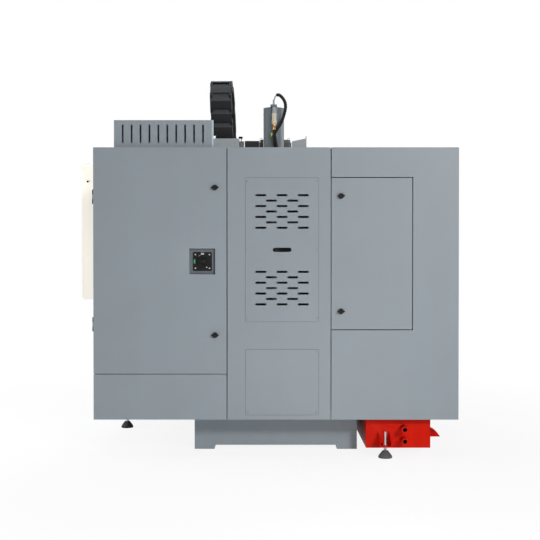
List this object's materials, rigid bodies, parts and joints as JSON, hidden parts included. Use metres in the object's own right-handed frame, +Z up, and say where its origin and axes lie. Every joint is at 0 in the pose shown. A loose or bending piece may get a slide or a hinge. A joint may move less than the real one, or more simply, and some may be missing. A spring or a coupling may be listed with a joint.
{
  "type": "cnc milling machine",
  "caption": "Compact enclosed vertical milling machine with folded grey panels, rear electrical cabinet, red coolant tank, energy chain, moving table and head, and operator console.",
  "frame": {"origin": "on the floor, at the middle of the base's four anchor holes", "axes": "+X to the operator's right, +Y to the rear, +Z up"},
  "size_m": [2.014, 1.6224, 1.8402],
  "materials": {
    "panel_paint": "fine textured powder coat",
    "cast_paint": "thick satin machine paint",
    "pale_paint": "satin powder coat",
    "bright_steel": "ground and polished",
    "ground_iron": "surface ground",
    "motor_black": "semi-gloss paint",
    "motor_grey": "satin paint",
    "plug_silver": "nickel plated",
    "cable_black": "matt spiral wrap",
    "tank_red": "gloss enamel",
    "foot_rubber": "matt",
    "chain_black": "moulded nylon",
    "bellows_black": "coated fabric",
    "knob_black": "moulded",
    "pale_plastic": "moulded",
    "console_cream": "satin powder coat",
    "screen_dark": "polished",
    "window_glass": "clear laminated sheet",
    "stop_red": "moulded",
    "start_green": "moulded",
    "hold_amber": "moulded"
  },
  "bodies": {
    "machine_frame": {"base_casting": "cast_paint", "column": "cast_paint", "guide_rails": "bright_steel", "y_motor": "motor_black", "z_motor": "motor_grey", "z_motor_plug": "plug_silver", "z_motor_cable": "cable_black", "center_cover": "panel_paint", "vent_panel": "panel_paint", "lower_plate": "panel_paint", "cabinet_shell": "panel_paint", "cabinet_lower_panel": "panel_paint", "cabinet_hinges": "knob_black", "drive_plate": "pale_paint", "left_rear_panel": "panel_paint", "service_box": "pale_paint", "lube_unit": "pale_plastic", "resistor_box": "panel_paint", "side_panel_right": "panel_paint", "side_panel_left": "panel_paint", "front_fascia": "panel_paint", "front_hood": "panel_paint", "inner_guards": "pale_paint", "console_arm": "panel_paint", "coolant_tank": "tank_red", "levelling_feet": "foot_rubber", "energy_chain": "chain_black", "roof_brackets": "pale_paint", "z_bellows": "bellows_black", "y_bellows": "bellows_black"},
    "saddle": {"saddle": "cast_paint", "x_rails": "bright_steel", "x_motor": "motor_black"},
    "table": {"work_table": "ground_iron"},
    "head": {"head_casting": "cast_paint", "spindle_motor": "motor_black", "spindle_cartridge": "bright_steel"},
    "spindle": {"spindle": "bright_steel"},
    "x_screw": {"x_screw": "bright_steel"},
    "y_screw": {"y_screw": "bright_steel"},
    "z_screw": {"z_screw": "bright_steel"},
    "cabinet_door": {"cabinet_door": "panel_paint", "main_switch_base": "knob_black"},
    "main_switch_handle": {"main_switch_handle": "knob_black"},
    "cabinet_lock_upper": {"cabinet_lock_upper": "knob_black"},
    "cabinet_lock_lower": {"cabinet_lock_lower": "knob_black"},
    "access_door": {"access_door": "panel_paint"},
    "access_lock_upper": {"access_lock_upper": "knob_black"},
    "access_lock_lower": {"access_lock_lower": "knob_black"},
    "front_door_right": {"front_door_right": "panel_paint", "front_window_right": "window_glass"},
    "front_door_left": {"front_door_left": "panel_paint", "front_window_left": "window_glass"},
    "console": {"console": "console_cream", "console_screen": "screen_dark"},
    "e_stop": {"e_stop": "stop_red"},
    "start_button": {"start_button": "start_green"},
    "hold_button": {"hold_button": "hold_amber"},
    "override_knob": {"override_knob": "knob_black"},
    "handwheel": {"handwheel": "knob_black"}
  },
  "joints": [
    {"name": "y_axis", "type": "slide", "parent": "machine_frame", "child": "saddle", "axis": [0, 1, 0], "range_m": [-0.13, 0.13], "deforming": ["y_bellows"]},
    {"name": "x_axis", "type": "slide", "parent": "saddle", "child": "table", "axis": [1, 0, 0], "range_m": [-0.2, 0.2]},
    {"name": "z_axis", "type": "slide", "parent": "machine_frame", "child": "head", "axis": [0, 0, 1], "range_m": [-0.33, 0], "deforming": ["z_bellows", "energy_chain"]},
    {"name": "y_screw_turn", "type": "hinge", "parent": "machine_frame", "child": "y_screw", "pos_m": [0, 0, 0.446], "axis": [0, 1, 0], "range_deg": [-4681, 4681]},
    {"name": "x_screw_turn", "type": "hinge", "parent": "saddle", "child": "x_screw", "pos_m": [0, -0.125, 0.555], "axis": [1, 0, 0], "range_deg": [-7201, 7201]},
    {"name": "z_screw_turn", "type": "hinge", "parent": "machine_frame", "child": "z_screw", "pos_m": [0.009, 0.185, 1], "axis": [0, 0, 1], "range_deg": [-1, 11881]},
    {"name": "spindle_turn", "type": "hinge", "parent": "head", "child": "spindle", "pos_m": [0, -0.125, 1.1], "axis": [0, 0, 1], "continuous": true},
    {"name": "cabinet_door_hinge", "type": "hinge", "parent": "machine_frame", "child": "cabinet_door", "pos_m": [0.8535, 0.739, 0.9], "axis": [0, 0, 1], "range_deg": [-120, 0]},
    {"name": "main_switch_turn", "type": "hinge", "parent": "cabinet_door", "child": "main_switch_handle", "pos_m": [0.343, 0.74, 0.914], "axis": [0, 1, 0], "range_deg": [0, 90]},
    {"name": "cabinet_lock_upper_turn", "type": "hinge", "parent": "cabinet_door", "child": "cabinet_lock_upper", "pos_m": [0.284, 0.75, 1.257], "axis": [0, 1, 0], "range_deg": [0, 90]},
    {"name": "cabinet_lock_lower_turn", "type": "hinge", "parent": "cabinet_door", "child": "cabinet_lock_lower", "pos_m": [0.284, 0.75, 0.571], "axis": [0, 1, 0], "range_deg": [0, 90]},
    {"name": "access_door_hinge", "type": "hinge", "parent": "machine_frame", "child": "access_door", "pos_m": [-0.625, 0.742, 0.95], "axis": [0, 0, 1], "range_deg": [0, 105]},
    {"name": "access_lock_upper_turn", "type": "hinge", "parent": "access_door", "child": "access_lock_upper", "pos_m": [-0.302, 0.75, 1.218], "axis": [0, -1, 0], "range_deg": [0, 90]},
    {"name": "access_lock_lower_turn", "type": "hinge", "parent": "access_door", "child": "access_lock_lower", "pos_m": [-0.302, 0.75, 0.682], "axis": [0, -1, 0], "range_deg": [0, 90]},
    {"name": "front_door_right_slide", "type": "slide", "parent": "machine_frame", "child": "front_door_right", "axis": [1, 0, 0], "range_m": [0, 0.4]},
    {"name": "front_door_left_slide", "type": "slide", "parent": "machine_frame", "child": "front_door_left", "axis": [-1, 0, 0], "range_m": [0, 0.4]},
    {"name": "console_swivel", "type": "hinge", "parent": "machine_frame", "child": "console", "pos_m": [0.905, -0.62, 1.45], "axis": [0, 0, 1], "range_deg": [-20, 60]},
    {"name": "e_stop_press", "type": "slide", "parent": "console", "child": "e_stop", "axis": [0, 1, 0], "range_m": [0, 0.006], "stiffness_N_per_m": 900},
    {"name": "start_press", "type": "slide", "parent": "console", "child": "start_button", "axis": [0, 1, 0], "range_m": [0, 0.003], "stiffness_N_per_m": 400},
    {"name": "hold_press", "type": "slide", "parent": "console", "child": "hold_button", "axis": [0, 1, 0], "range_m": [0, 0.003], "stiffness_N_per_m": 400},
    {"name": "override_turn", "type": "hinge", "parent": "console", "child": "override_knob", "pos_m": [1.1025, -0.71, 0.9496], "axis": [0, 1, 0], "range_deg": [-135, 135]},
    {"name": "handwheel_turn", "type": "hinge", "parent": "console", "child": "handwheel", "pos_m": [1.0245, -0.71, 0.78888], "axis": [0, 1, 0], "continuous": true}
  ],
  "couplings": [
    {"joint": "x_screw_turn", "follows": "x_axis", "rad_per_m": -628.32},
    {"joint": "y_screw_turn", "follows": "y_axis", "rad_per_m": -628.32},
    {"joint": "z_screw_turn", "follows": "z_axis", "rad_per_m": -628.32}
  ]
}
